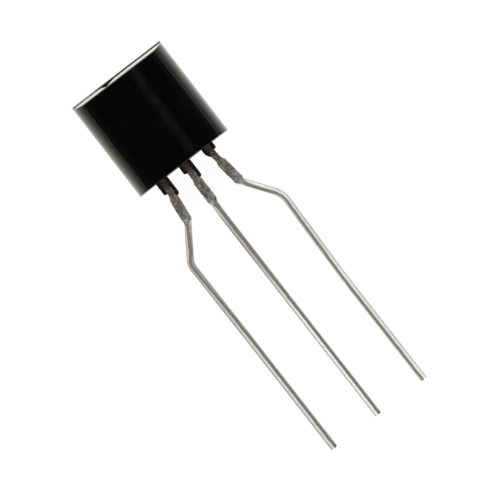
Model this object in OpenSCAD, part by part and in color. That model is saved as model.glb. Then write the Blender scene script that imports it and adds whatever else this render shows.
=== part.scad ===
// Small plastic transistor in the TO-92 outline, with its outer leads formed outwards.
// It lies on the narrow land of its round back. +Z points out of the flat front, +Y to the top of
// the case, and the leads run towards -Y. The origin is the centre of the flat front.

/* [Case] */
// Width of the case, the diameter of its round back
body_w = 4.92; // [4.5:0.02:5.2]
// Height of the case at the parting plane, along the leads
body_h = 4.95; // [4.4:0.05:5.3]
// Distance from the flat front to the middle of the leads, where the mould parts
flat_to_leads = 1.42; // [1.3:0.02:1.5]
// Draft of the front half's top and bottom faces, in degrees
draft = 4.4; // [3:0.1:5]
// Draft of the back half's top and bottom faces, in degrees
back_draft = 2.2; // [1:0.1:3]
// Width of the flat land along the lowest line of the round back
land_w = 0.6; // [0.4:0.02:0.8]
// Radius of the two long edges of the flat front
front_edge_r = 0.12; // [0.08:0.01:0.25]
// How far the back half of the case sits above the front half, where the mould halves missed
mould_step = 0.05; // [0.02:0.01:0.1]
// Diameter of the ejector-pin mark on the round back
ejector_d = 1.0; // [0.8:0.05:1.2]
// Depth of the ejector-pin mark below the land
ejector_depth = 0.08; // [0.06:0.01:0.12]

/* [Gate] */
// Width of the broken gate on the top face
gate_w = 0.8; // [0.5:0.02:1]
// Height of the broken gate above the top edge of the front half
gate_h = 0.045; // [0.03:0.005:0.1]
// Thickness of the broken gate, from the parting plane up the front half
gate_t = 0.55; // [0.3:0.05:0.8]
// Distance of the gate to the left of the middle
gate_off = 0.64; // [0.3:0.01:0.9]

/* [Leads] */
// Distance between neighbouring leads where they leave the case
lead_pitch = 1.27; // [1.2:0.01:1.35]
// Thickness of the sheet that the leads are stamped from
stock_t = 0.38; // [0.34:0.01:0.44]
// Width of each lead where it leaves the case
neck_w = 0.33; // [0.28:0.01:0.38]
// Distance below the case at which each neck starts to widen
neck_len = 0.81; // [0.7:0.01:1]
// Length of each shoulder between neck and blade
shoulder_len = 0.2; // [0.1:0.01:0.3]
// Width of the blade, where the tie bar was cut away
blade_w = 0.465; // [0.42:0.005:0.5]
// Length of the blade
blade_len = 0.98; // [0.8:0.01:1.2]
// Length of the taper from blade to wire
taper_len = 0.32; // [0.2:0.01:0.4]
// Width of the long thin wire of each lead
wire_w = 0.28; // [0.24:0.01:0.3]
// Thickness of the wire
wire_t = 0.33; // [0.28:0.01:0.34]
// Radius of the wire's four long edges
wire_edge_r = 0.06; // [0.03:0.01:0.1]
// Distance from the case down to the tips of the leads
lead_len = 14.22; // [12:0.02:15.5]

/* [Left lead] */
// Lean of the left blade, in degrees
left_lean = 7.4; // [3:0.1:10]
// Angle at which the left wire splays outwards, in degrees
left_splay = 33.7; // [28:0.1:42]
// Radius of the bend that turns the left wire down again
left_bend_r = 0.75; // [0.5:0.01:1]
// Angle by which the left wire's long run leans inwards, in degrees
left_toe_in = 0.7; // [0.1:0.1:1.5]
// Outward curve half-way down the left wire, in degrees
left_bow = 0.4; // [0.1:0.1:1]
// Turn of the left wire's section about its own line, upper face outwards, in degrees
left_twist = 16; // [1:1:20]
// Distance from the middle of the case to the tip of the left lead
left_tip = 2.44; // [2.3:0.01:2.7]

/* [Middle lead] */
// Small kink below the middle blade, to the left, in degrees
middle_kink = 2; // [0.5:0.1:3]
// Angle by which the middle wire leans to the right below its kink, in degrees
middle_lean = 0.36; // [0.1:0.02:1]
// Turn of the middle wire's section about its own line, upper face to the left, in degrees
middle_twist = 16; // [1:1:20]

/* [Right lead] */
// Lean of the right blade, in degrees
right_lean = 7.6; // [3:0.1:10]
// Angle at which the right wire splays outwards, in degrees
right_splay = 35.5; // [28:0.1:42]
// Radius of the bend that turns the right wire down again
right_bend_r = 1.2; // [0.6:0.01:1.3]
// Angle by which the right wire's long run first leans inwards, in degrees
right_toe_in = 1.2; // [0.1:0.1:1.5]
// Outward curve half-way down the right wire, in degrees
right_bow = 1.7; // [0.1:0.1:2]
// Turn of the right wire's section about its own line, upper face outwards, in degrees
right_twist = 16; // [1:1:20]
// Distance from the middle of the case to the tip of the right lead
right_tip = 2.61; // [2.3:0.01:2.7]

/* [Moulding flash] */
// Width of the flash on each side of a neck
flash_w = 0.14; // [0.08:0.01:0.18]
// Thickness of the flash
flash_t = 0.34; // [0.2:0.01:0.34]
// Length of the flash on the outer side of the left neck
left_outer_flash = 0.58; // [0.3:0.01:0.65]
// Length of the flash on the inner side of the left neck
left_inner_flash = 0.93; // [0.5:0.01:1]
// Length of the flash on the left side of the middle neck
middle_left_flash = 0.39; // [0.3:0.01:0.7]
// Length of the flash on the right side of the middle neck
middle_right_flash = 0.92; // [0.5:0.01:1]
// Length of the flash on the inner side of the right neck
right_inner_flash = 0.54; // [0.45:0.01:0.9]
// Length of the flash on the outer side of the right neck
right_outer_flash = 0.32; // [0.2:0.01:0.6]

/* [Inside] */
// Width of the pad at the inner end of the middle lead
pad_w = 1.3; // [1.1:0.05:1.4]
// Height of the pad
pad_h = 1.5; // [1.2:0.05:1.7]
// Distance from the bottom of the case up to the pad
pad_up = 2.0; // [1.7:0.05:2.2]
// Width of the bonding post at the inner end of each outer lead
post_w = 0.72; // [0.6:0.02:0.76]
// Height of each bonding post
post_h = 1.1; // [0.8:0.05:1.3]
// Distance from the bottom of the case up to the bonding posts
post_up = 1.9; // [1.5:0.05:2.1]
// Width of the stem between a neck and its pad or post
stem_w = 0.5; // [0.42:0.01:0.56]
// Distance from the bottom of the case up to where each stem starts
stem_up = 0.45; // [0.3:0.05:0.8]
// Depth of the notches that lock each stem in the moulding
notch = 0.1; // [0.05:0.01:0.14]
// Side of the square chip
die_side = 0.48; // [0.4:0.02:0.6]
// Thickness of the chip
die_t = 0.2; // [0.15:0.01:0.25]
// Thickness of the layer that holds the chip on its pad
attach_t = 0.03; // [0.02:0.01:0.05]
// How far that layer reaches past the chip on each side
attach_rim = 0.04; // [0.02:0.01:0.08]
// Diameter of the bond wires
bond_d = 0.05; // [0.03:0.005:0.06]
// Radius of each bond wire's loop
loop_r = 0.12; // [0.09:0.01:0.16]

/* [Hidden] */
$fn = 96;

// Case
body_r = body_w / 2;
lead_z = -flat_to_leads;            // height of the leads' middle plane, where the mould parts
back_z = lead_z - sqrt(pow(body_r, 2) - pow(land_w / 2, 2));   // height of the land
case_bottom = -body_h / 2;
case_top = body_h / 2;
over = 0.5;                         // how far a cutting shape reaches past what it cuts
corner_steps = 6;                   // flats round each long edge of the front
gate_roots = [[-0.5, 0], [-0.24, 0.4], [-0.12, 0.9], [0.04, 1], [0.16, 0.55], [0.5, 0]];
gate_back = 0.05;                   // how far the gate is rooted in the back half

// Flash
flash_root = 0.3;                   // how far each fin's root lies inside the case
flash_chip = [0.6, 0.4];            // middle of a fin's broken end, across and along it
blunt_end = 0.06;                   // how much shorter a fin is at its outer edge
ragged_end = 0.15;
torn_end = 0.28;

// Bends of the leads
lean_r = 0.5;                       // radius of the small bend in the neck of an outer lead
splay_r = 0.4;                      // radius of the bend between blade and wire
bow_r = 12;                         // radius of the gentle curve half-way down a wire
bow_at = 4;                         // length of the wire's run above that curve
kink_run = 0.9;                     // length of the middle wire's kink
kink_r = 1;                         // radius of the middle wire's small bends
wire_root = 0.15;                   // how far each wire's route reaches up into its blade
edge_steps = 3;                     // flats round each long edge of a wire
past_flash = 0.01;                  // neck left straight below the outer flash
core_reach = 0.03;                  // how far a joint's core reaches into the run and the bend
core_share = 0.9;                   // size of a core, as a share of the section round it
grid = pow(2, 24);                  // steps in each mm on which the corners of a section lie

// Inner ends of the leads
stem_slope = 0.12;                  // length over which a neck widens into its stem
notch_len = 0.25;                   // length of each locking notch
notch_up = 0.3;                     // distance from the start of a stem up to its notches
post_out = 0.04;                    // how far each post sits outside the line of its lead
corner_cut = 0.18;                  // cut corners of the pad and the posts
lock_r = 0.13;                      // half-round locking notches in the sides of the pad
post_middle = post_up + 0.65 * post_h;  // height of each bond wire's foot
pad_middle = pad_up + pad_h / 2;

// Chip and bond wires. Heights are above the upper face of the stamped sheet.
die_foot = attach_t;
die_top = attach_t + die_t;
ball_d = 2.2 * bond_d;
ball_t = 0.6 * bond_d;
foot_d = 1.8 * bond_d;
foot_t = 0.6 * bond_d;
loop_up = 0.12;                     // height of each wire's upright start above the chip
bond_pad = die_side / 4;            // distance of each ball from the middle of the chip

// A length or a point moved to the grid, so that runs and bends meet corner to corner.
function on_grid(value) =
    is_num(value) ? round(value * grid) / grid : [for (part = value) on_grid(part)];

// A point turned about the origin.
function turned(p, angle) =
    [p[0] * cos(angle) - p[1] * sin(angle), p[0] * sin(angle) + p[1] * cos(angle)];

// Direction of a run that leans by an angle, as [outwards, downwards].
function heading(angle) = [sin(angle), cos(angle)];

// What a bend that starts on one heading and turns by an angle adds, as [outwards, downwards].
function bend_step(start, turn, r) =
    sign(turn) * r * [cos(start) - cos(start + turn), sin(start + turn) - sin(start)];

// Lengths of two runs on the headings a and b that together cover a way.
function two_runs(way, a, b) =
    [(way[0] * cos(b) - way[1] * sin(b)) / sin(a - b),
     (way[1] * sin(a) - way[0] * cos(a)) / sin(a - b)];

// Points on an arc round a centre, between two angles.
function arc_points(centre, r, from, to, steps) =
    [for (i = [0:steps]) centre + r * [cos(from + (to - from) * i / steps),
                                       sin(from + (to - from) * i / steps)]];

function mirrored(points) = [for (i = [len(points) - 1:-1:0]) [-points[i][0], points[i][1]]];

// ---- Case ----

// Front half of the case's section: the round sides, ending in the flat with its rounded edges.
module front_section() {
    corner_x = sqrt(pow(body_r - front_edge_r, 2) - pow(flat_to_leads - front_edge_r, 2));
    corner = [corner_x, -front_edge_r];
    touch_angle = atan2(flat_to_leads - front_edge_r, corner_x);
    touch_z = front_edge_r * sin(touch_angle) - front_edge_r;
    right_edge = arc_points(corner, front_edge_r, touch_angle, 90, corner_steps);
    intersection() {
        translate([0, lead_z]) circle(r = body_r);
        translate([-body_r, lead_z]) square([body_w, touch_z - lead_z]);
    }
    polygon(concat([[corner_x, lead_z]], right_edge, mirrored(right_edge), [[-corner_x, lead_z]]));
}

module back_section() {
    intersection() {
        translate([0, lead_z]) circle(r = body_r);
        translate([-body_r, back_z]) square([body_w, lead_z - back_z]);
    }
}

// A section of the case, drawn across and up, stretched along the case.
module along_case() {
    rotate([90, 0, 0])
        linear_extrude(height = body_h + 2 * over, center = true) children();
}

// A side view of the case, drawn along and up, stretched across the case.
module across_case() {
    rotate([90, 0, 90])
        linear_extrude(height = body_w + 2 * over, center = true) children();
}

module back_half() {
    depth = body_r + over;
    inset = depth * tan(back_draft);
    intersection() {
        along_case() back_section();
        translate([0, mould_step, 0]) across_case() polygon([
            [case_bottom + inset, lead_z - depth],
            [case_top - inset, lead_z - depth],
            [case_top, lead_z],
            [case_bottom, lead_z]
        ]);
    }
}

module front_half() {
    height = flat_to_leads + over;
    inset = height * tan(draft);
    intersection() {
        along_case() front_section();
        across_case() polygon([
            [case_bottom, lead_z],
            [case_top, lead_z],
            [case_top - inset, lead_z + height],
            [case_bottom + inset, lead_z + height]
        ]);
    }
}

// Stub that is left where the gate was broken off.
module broken_gate() {
    translate([-gate_off, case_top, lead_z - gate_back])
        linear_extrude(height = gate_back + gate_t) union() {
            polygon([for (p = gate_roots) [p[0] * gate_w, p[1] * gate_h]]);
            translate([-gate_w / 2, -over]) square([gate_w, over]);
        }
}

// Fin of flash on the right side of a neck at x. Its end slopes back, away from the neck.
module flash_fin(x, length, end) {
    side = x + neck_w / 2;
    tip = case_bottom - length;
    translate([0, 0, lead_z])
        linear_extrude(height = flash_t, center = true) polygon([
            [side, case_bottom + flash_root],
            [side, tip],
            [side + flash_w * flash_chip[0], tip + end * flash_chip[1]],
            [side + flash_w, tip + end],
            [side + flash_w, case_bottom + flash_root]
        ]);
}

module moulding_flash() {
    mirror([1, 0, 0]) {
        flash_fin(lead_pitch, left_outer_flash, blunt_end);
        flash_fin(0, middle_left_flash, blunt_end);
        flash_fin(-lead_pitch, right_inner_flash, torn_end);
    }
    flash_fin(lead_pitch, right_outer_flash, blunt_end);
    flash_fin(0, middle_right_flash, ragged_end);
    flash_fin(-lead_pitch, left_inner_flash, ragged_end);
}

module ejector_mark() {
    translate([0, 0, back_z - over]) cylinder(d = ejector_d, h = over + ejector_depth);
}

module case() {
    color([0.05, 0.045, 0.04])
        difference() {
            union() {
                back_half();
                front_half();
                broken_gate();
                moulding_flash();
            }
            ejector_mark();
            left_root();
            middle_root();
            right_root();
            die_attach();
            die();
            base_wire();
            emitter_wire();
        }
}

// ---- Leads ----

// Section of the wire, a rectangle with rounded edges, turned so that its upper face leans to +X.
module wire_section(twist) {
    x = wire_w / 2 - wire_edge_r;
    y = wire_t / 2 - wire_edge_r;
    outline = concat(
        arc_points([x, y], wire_edge_r, 0, 90, edge_steps),
        arc_points([-x, y], wire_edge_r, 90, 180, edge_steps),
        arc_points([-x, -y], wire_edge_r, 180, 270, edge_steps),
        arc_points([x, -y], wire_edge_r, 270, 360, edge_steps)
    );
    polygon([for (p = outline) on_grid(turned(p, -twist))]);
}

// Straight run of a section, from the origin towards -Y.
module run(length) {
    rotate([90, 0, 0]) linear_extrude(height = length) children();
}

// Bend of a section that runs towards -Y. A positive turn goes towards +X.
module bend(turn, r) {
    centre = on_grid(r);
    if (turn > 0)
        translate([centre, 0, 0]) rotate([0, 0, 180])
            rotate_extrude(angle = turn) translate([centre, 0]) mirror([1, 0]) children();
    else
        translate([-centre, 0, 0]) rotate([0, 0, turn])
            rotate_extrude(angle = -turn) translate([centre, 0]) children();
}

// Core inside the joint of a run and a bend, so that the two are one solid and don't only touch.
module joint_core() {
    translate([0, core_reach, 0]) run(2 * core_reach) scale(core_share) children();
}

// Moves what follows to the end of a bend.
module past_bend(turn, r) {
    step = bend_step(0, turn, r);
    translate([step[0], -step[1], 0]) rotate([0, 0, turn]) children();
}

// Straight runs, with a bend after each. Each step is [length, turn, bend radius], and a turn of 0
// ends the route.
module route(steps, i = 0) {
    run(steps[i][0]) children();
    if (steps[i][1] != 0)
        translate([0, -steps[i][0], 0]) {
            joint_core() children();
            bend(steps[i][1], steps[i][2]) children();
            past_bend(steps[i][1], steps[i][2]) {
                joint_core() children();
                route(steps, i + 1) children();
            }
        }
}

// Outline drawn in the plane of the leads, at the sheet's thickness.
module stamped() {
    linear_extrude(height = stock_t, center = true) children();
}

// A side view of a lead, drawn along and up, stretched across the lead.
module across_lead() {
    rotate([90, 0, 90]) linear_extrude(height = 2 * blade_w, center = true) children();
}

// Moves a lead to its place on the case's bottom edge, in the plane of the leads.
module on_case(x) {
    translate([x, case_bottom, lead_z]) children();
}

module neck_section() {
    square([neck_w, stock_t], center = true);
}

// Neck, from inside the case down to the distance given.
module neck(length) {
    translate([-neck_w / 2, -length, -stock_t / 2]) cube([neck_w, length + stem_up, stock_t]);
}

// How far aside the middle of a wire lies at the end of its taper, for a bend of the angle given.
function taper_aside(turn, r) =
    let (step = bend_step(0, turn, r))
    step[0] + (taper_len - step[1]) * tan(turn);

// Rest of a neck, and the shoulder, blade and taper below it. The taper ends inside the wire, in
// its width and in its thickness.
module blade(neck_rest, aside) {
    wide = -neck_rest - shoulder_len;
    low = wide - blade_len;
    end = low - taper_len;
    end_w = wire_w - wire_edge_r;
    end_t = wire_t - wire_edge_r;
    intersection() {
        stamped() polygon([
            [-neck_w / 2, 0],
            [-neck_w / 2, -neck_rest],
            [-blade_w / 2, wide],
            [-blade_w / 2, low],
            [aside - end_w / 2, end],
            [aside + end_w / 2, end],
            [blade_w / 2, low],
            [blade_w / 2, wide],
            [neck_w / 2, -neck_rest],
            [neck_w / 2, 0]
        ]);
        across_lead() polygon([
            [over, -stock_t],
            [over, stock_t],
            [low, stock_t],
            [low, stock_t / 2],
            [end, end_t / 2],
            [end, -end_t / 2],
            [low, -stock_t / 2],
            [low, -stock_t]
        ]);
    }
}

// Stem inside the case, with a pair of notches that lock it in the moulding.
module stem(up) {
    wide = stem_up + stem_slope;
    difference() {
        stamped() polygon([
            [-neck_w / 2, stem_up - stem_slope],
            [neck_w / 2, stem_up - stem_slope],
            [neck_w / 2, stem_up],
            [stem_w / 2, wide],
            [stem_w / 2, up],
            [-stem_w / 2, up],
            [-stem_w / 2, wide],
            [-neck_w / 2, stem_up]
        ]);
        for (side = [-1, 1])
            translate([side * stem_w / 2, wide + notch_up + notch_len / 2, 0])
                cube([2 * notch, notch_len, stock_t + over], center = true);
    }
}

// Post that a bond wire lands on. Its outer top corner is cut.
module bonding_post() {
    left = post_out - post_w / 2;
    right = post_out + post_w / 2;
    top = post_up + post_h;
    stamped() polygon([
        [left, post_up],
        [right, post_up],
        [right, top - corner_cut],
        [right - corner_cut, top],
        [left, top]
    ]);
}

// Pad that carries the chip, with cut top corners and locking notches in its sides.
module die_pad() {
    side = pad_w / 2;
    top = pad_up + pad_h;
    difference() {
        stamped() polygon([
            [-side, pad_up],
            [side, pad_up],
            [side, top - corner_cut],
            [side - corner_cut, top],
            [corner_cut - side, top],
            [-side, top - corner_cut]
        ]);
        for (x = [-side, side])
            translate([x, pad_middle, 0])
                cylinder(r = lock_r, h = stock_t + over, center = true);
    }
}

// Length of an outer lead's neck down to its small bend, just below the outer flash.
function upper_neck(outer_flash) = outer_flash + past_flash;

// Length from that bend down to the end of the blade.
function lower_neck(outer_flash) = neck_len - upper_neck(outer_flash);

function blade_end(outer_flash) = lower_neck(outer_flash) + shoulder_len + blade_len;

// Way of an outer lead from the case to where its wire starts, as [outwards, downwards].
function way_to_wire(lean, outer_flash) =
    upper_neck(outer_flash) * heading(0)
    + bend_step(0, lean, lean_r)
    + blade_end(outer_flash) * heading(lean);

// Route of an outer wire. Its splayed run and its last run are as long as the tip's place needs.
function outer_route(lean, splay, bend_r, toe_in, bow, tip, outer_flash) =
    let (
        last = bow - toe_in,
        fixed = way_to_wire(lean, outer_flash)
            + bend_step(lean, splay - lean, splay_r)
            + bend_step(splay, -toe_in - splay, bend_r)
            + bow_at * heading(-toe_in)
            + bend_step(-toe_in, bow, bow_r),
        runs = two_runs([tip - lead_pitch, lead_len] - fixed, splay, last)
    )
    [[wire_root, splay - lean, splay_r],
     [runs[0], -toe_in - splay, bend_r],
     [bow_at, bow, bow_r],
     [runs[1], 0, 0]];

// Stamped part of a lead that leans towards +X: post, stem, neck and blade.
module outer_root(lean, splay, outer_flash) {
    on_case(lead_pitch) {
        bonding_post();
        stem(post_up + notch);
        neck(upper_neck(outer_flash));
        translate([0, -upper_neck(outer_flash), 0]) {
            joint_core() neck_section();
            bend(lean, lean_r) neck_section();
            past_bend(lean, lean_r) {
                joint_core() neck_section();
                blade(lower_neck(outer_flash), taper_aside(splay - lean, splay_r));
            }
        }
    }
}

module outer_wire(lean, outer_flash, twist, steps) {
    on_case(lead_pitch)
        translate([0, -upper_neck(outer_flash), 0])
            past_bend(lean, lean_r)
                translate([0, wire_root - blade_end(outer_flash), 0])
                    route(steps) wire_section(twist);
}

module left_root() {
    mirror([1, 0, 0]) outer_root(left_lean, left_splay, left_outer_flash);
}

module right_root() {
    outer_root(right_lean, right_splay, right_outer_flash);
}

module middle_root() {
    on_case(0) {
        die_pad();
        stem(pad_up + notch);
        neck(neck_len);
        translate([0, -neck_len / 2, 0])
            blade(neck_len / 2, taper_aside(-middle_kink, kink_r));
    }
}

module lead_colour() {
    color([0.72, 0.71, 0.68]) children();
}

module left_lead() {
    steps = outer_route(left_lean, left_splay, left_bend_r, left_toe_in, left_bow, left_tip,
                        left_outer_flash);
    lead_colour() {
        left_root();
        mirror([1, 0, 0]) outer_wire(left_lean, left_outer_flash, left_twist, steps);
    }
}

module middle_lead() {
    wire_top = neck_len + shoulder_len + blade_len;
    turns = [-middle_kink, middle_kink + middle_lean];
    fixed = wire_top + bend_step(0, turns[0], kink_r)[1]
        + kink_run * cos(middle_kink)
        + bend_step(turns[0], turns[1], kink_r)[1];
    last = (lead_len - fixed) / cos(middle_lean);
    lead_colour() {
        middle_root();
        on_case(0)
            translate([0, wire_root - wire_top, 0])
                route([[wire_root, turns[0], kink_r],
                       [kink_run, turns[1], kink_r],
                       [last, 0, 0]]) wire_section(-middle_twist);
    }
}

module right_lead() {
    steps = outer_route(right_lean, right_splay, right_bend_r, right_toe_in, right_bow,
                        right_tip, right_outer_flash);
    lead_colour() {
        right_root();
        outer_wire(right_lean, right_outer_flash, right_twist, steps);
    }
}

// ---- Chip and bond wires ----

// Moves what follows to the middle of the chip, at a height above the stamped sheet.
module above_pad(height) {
    translate([0, case_bottom + pad_middle, lead_z + stock_t / 2 + height]) children();
}

module die_attach() {
    side = die_side + 2 * attach_rim;
    color([0.70, 0.70, 0.68])
        above_pad(0) linear_extrude(height = attach_t) square(side, center = true);
}

module die() {
    color([0.30, 0.32, 0.36])
        above_pad(die_foot) linear_extrude(height = die_t) square(die_side, center = true);
}

// Bond wire from a ball on the chip to a post on the +X side: upright start, loop, straight fall
// and flattened foot.
module bond_wire() {
    across = [lead_pitch + post_out - bond_pad, post_middle - pad_middle];
    span = norm(across);
    landing = [span, bond_d / 2 - die_top];
    away = landing - [loop_r, loop_up];
    distance = norm(away);
    leaving = atan2(away[1], away[0]) + acos(loop_r / distance);
    fall = sqrt(pow(distance, 2) - pow(loop_r, 2));
    color([0.85, 0.65, 0.25])
        above_pad(die_top) translate([bond_pad, 0, 0]) rotate([0, 0, atan2(across[1], across[0])]) {
            cylinder(d = ball_d, h = ball_t);
            cylinder(d = bond_d, h = loop_up);
            translate([loop_r, 0, loop_up]) rotate([90, 0, 0]) rotate([0, 0, leaving]) {
                rotate_extrude(angle = 180 - leaving)
                    translate([loop_r, 0]) circle(d = bond_d);
                translate([loop_r, 0, 0]) rotate([90, 0, 0]) cylinder(d = bond_d, h = fall);
            }
            translate([span, 0, -die_top]) cylinder(d = foot_d, h = foot_t);
        }
}

module base_wire() {
    mirror([1, 0, 0]) bond_wire();
}

module emitter_wire() {
    bond_wire();
}

case();
left_lead();
middle_lead();
right_lead();
die_attach();
die();
base_wire();
emitter_wire();
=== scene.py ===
"""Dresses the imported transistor: moulded case and formed leads, with table, light and camera.

Sizes are in millimetres in the classes below. Every mesh is built in millimetres and then shrunk
to metres, the unit of the frame. The frame's +Z comes out of the flat front, +Y points to the top
of the case, and the leads run towards -Y.
"""

import logging
import math
import sys
from dataclasses import dataclass
from enum import Enum
from typing import Iterable, Sequence

import bmesh
import bpy
from mathutils import Matrix, Vector, noise

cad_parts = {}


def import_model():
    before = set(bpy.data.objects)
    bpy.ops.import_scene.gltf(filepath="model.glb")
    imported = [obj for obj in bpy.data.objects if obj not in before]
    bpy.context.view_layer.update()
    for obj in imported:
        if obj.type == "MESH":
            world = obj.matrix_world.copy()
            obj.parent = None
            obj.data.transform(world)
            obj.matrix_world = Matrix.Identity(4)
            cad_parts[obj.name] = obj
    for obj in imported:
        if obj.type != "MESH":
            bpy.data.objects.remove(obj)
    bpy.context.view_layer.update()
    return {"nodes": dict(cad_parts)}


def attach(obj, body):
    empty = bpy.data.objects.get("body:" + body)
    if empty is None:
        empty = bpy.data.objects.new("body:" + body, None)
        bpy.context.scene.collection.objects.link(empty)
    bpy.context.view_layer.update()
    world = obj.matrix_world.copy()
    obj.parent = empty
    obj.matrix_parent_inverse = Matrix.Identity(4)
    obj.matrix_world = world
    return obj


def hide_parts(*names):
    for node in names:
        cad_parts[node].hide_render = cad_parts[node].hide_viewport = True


MM = 0.001
BODY = "root"
SHARP_ANGLE = math.radians(40)

log = logging.getLogger("transistor")

Point = tuple[float, float]
Span = tuple[float, float, float, float]
Colour = tuple[float, float, float]
Track = tuple[Point, ...]
Socket = bpy.types.NodeSocket


class Slot(Enum):
    """The record's material slots that the new pieces take."""

    MOULD_COMPOUND = "mould_compound"
    TINNED_LEAD = "tinned_lead"


class Side(Enum):
    """The side that an outer lead leaves from, or that a fin is on, as the sign of X."""

    LEFT = -1
    RIGHT = 1


# ---- Node trees ----


class NodeGraph:
    """Short calls for building a shader or geometry node tree."""

    def __init__(self, tree: bpy.types.NodeTree) -> None:
        """Starts from an existing node tree, which the calls add to."""
        self.tree = tree

    def node(self, kind: str, **settings: object) -> bpy.types.Node:
        """Adds a node.

        Args:
            kind: The node's type name, such as ShaderNodeBump.
            **settings: Properties of the node, by name.

        Returns:
            The new node.
        """
        made = self.tree.nodes.new(kind)
        for name, value in settings.items():
            setattr(made, name, value)
        return made

    def plug(self, value: object, socket: Socket) -> None:
        """Links an output to an input, or sets the input to a plain value.

        Args:
            value: An output socket, or a number, vector or colour.
            socket: The input that takes it.
        """
        if isinstance(value, Socket):
            self.tree.links.new(value, socket)
        else:
            socket.default_value = value

    def feed(self, node: bpy.types.Node, **inputs: object) -> bpy.types.Node:
        """Sets or links inputs of a node by name.

        Args:
            node: The node whose inputs are fed.
            **inputs: Values or output sockets, by input name with _ for each space.

        Returns:
            The same node.
        """
        for name, value in inputs.items():
            self.plug(value, node.inputs[name.replace("_", " ")])
        return node

    def fill(self, node: bpy.types.Node, *values: object) -> Socket:
        """Sets or links the first inputs of a node.

        Args:
            node: The node whose inputs are fed.
            *values: Values or output sockets, in the order of the inputs.

        Returns:
            The node's first output.
        """
        for socket, value in zip(node.inputs, values):
            self.plug(value, socket)
        return node.outputs[0]

    def axes(self, vector: Socket) -> tuple[Socket, ...]:
        """Takes a vector apart into its X, Y and Z."""
        return tuple(self.feed(self.node("ShaderNodeSeparateXYZ"), Vector=vector).outputs)

    def vector(self, operation: str, *values: object, **inputs: object) -> Socket:
        """Adds a Vector Math node.

        Args:
            operation: The operation's name, such as ADD.
            *values: Vectors or output sockets, in the node's order.
            **inputs: Its other inputs, by name.

        Returns:
            The node's result, a vector or a number.
        """
        made = self.node("ShaderNodeVectorMath", operation=operation)
        self.fill(made, *values)
        return next(out for out in self.feed(made, **inputs).outputs if out.enabled)

    def math(self, operation: str, *values: object, clamp: bool = False) -> Socket:
        """The result of a Math node on numbers or outputs, clamped to 0 to 1 if asked."""
        made = self.node("ShaderNodeMath", operation=operation, use_clamp=clamp)
        return self.fill(made, *values)

    def ramp(self, value: object, low: float, high: float, to_low: float = 0.0,
             to_high: float = 1.0, kind: str = "SMOOTHSTEP") -> Socket:
        """Maps a value from low and high to to_low and to_high, held at both ends."""
        made = self.node("ShaderNodeMapRange", interpolation_type=kind)
        return self.fill(made, value, low, high, to_low, to_high)

    def between(self, factor: object, first: float, second: float) -> Socket:
        """A number that goes straight from the first at 0 to the second at 1."""
        return self.math("MULTIPLY_ADD", factor, second - first, first)

    def blend(self, factor: object, first: object, second: object) -> Socket:
        """Mixes two colours, the first where the factor is 0 and the second where it is 1."""
        made = self.node("ShaderNodeMix", data_type="RGBA", clamp_factor=True)
        return self.feed(made, Factor=factor, A=rgba(first), B=rgba(second)).outputs["Result"]


def rgba(colour: object) -> object:
    """Gives a colour of three numbers its fourth, and passes an output socket through."""
    return colour if isinstance(colour, Socket) else (*colour, 1.0)


@dataclass(frozen=True)
class Pattern:
    """A noise pattern: its grains in each millimetre, and the range that is mapped to a result."""

    scale: float
    detail: float = 2.0
    span: Point = (0.3, 0.7)
    result: Point = (0.0, 1.0)
    stretch: tuple[float, float, float] = (1.0, 1.0, 1.0)
    roughness: float = 0.5


class Finish:
    """A procedural material on a Principled shader, with patterns on Object coordinates in mm."""

    name: str

    def __init__(self) -> None:
        """Makes the material with its shader and its coordinates, and builds its nodes."""
        self.material = bpy.data.materials.new(self.name)
        self.material.use_nodes = True
        self.graph = NodeGraph(self.material.node_tree)
        self.shader = self.material.node_tree.nodes["Principled BSDF"]
        place = self.graph.node("ShaderNodeTexCoord").outputs["Object"]
        self.place = self.stretched(place, (1 / MM,) * 3)
        self.build()

    def build(self) -> None:
        """Builds the nodes. Each finish has its own."""
        raise NotImplementedError

    def stretched(self, place: object, scale: Sequence[float]) -> Socket:
        """Coordinates times a factor along each axis."""
        mapping = self.graph.node("ShaderNodeMapping")
        return self.graph.feed(mapping, Vector=place, Scale=scale).outputs[0]

    def grain(self, pattern: Pattern, place: object = None) -> Socket:
        """Adds the noise texture of a pattern.

        Args:
            pattern: The pattern.
            place: Coordinates in place of the Object coordinates.

        Returns:
            The noise, around 0.5.
        """
        made = self.graph.node("ShaderNodeTexNoise")
        self.graph.feed(made, Vector=self.stretched(place or self.place, pattern.stretch),
                        Scale=pattern.scale, Detail=pattern.detail, Roughness=pattern.roughness)
        return made.outputs["Fac"]

    def mapped(self, pattern: Pattern) -> Socket:
        """The noise of a pattern, mapped to its result."""
        return self.graph.ramp(self.grain(pattern), *pattern.span, *pattern.result)

    def bump(self, height: Socket, depth: float, under: object = None) -> Socket:
        """Adds a bump.

        Args:
            height: The height pattern, from 0 to 1.
            depth: Height in millimetres of a pattern value of 1.
            under: The normal of a bump below this one.

        Returns:
            The bumped normal.
        """
        made = self.graph.node("ShaderNodeBump")
        self.graph.feed(made, Height=height, Strength=1.0, Distance=depth * MM)
        if under is not None:
            self.graph.feed(made, Normal=under)
        return made.outputs[0]


# ---- Finishes ----


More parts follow.
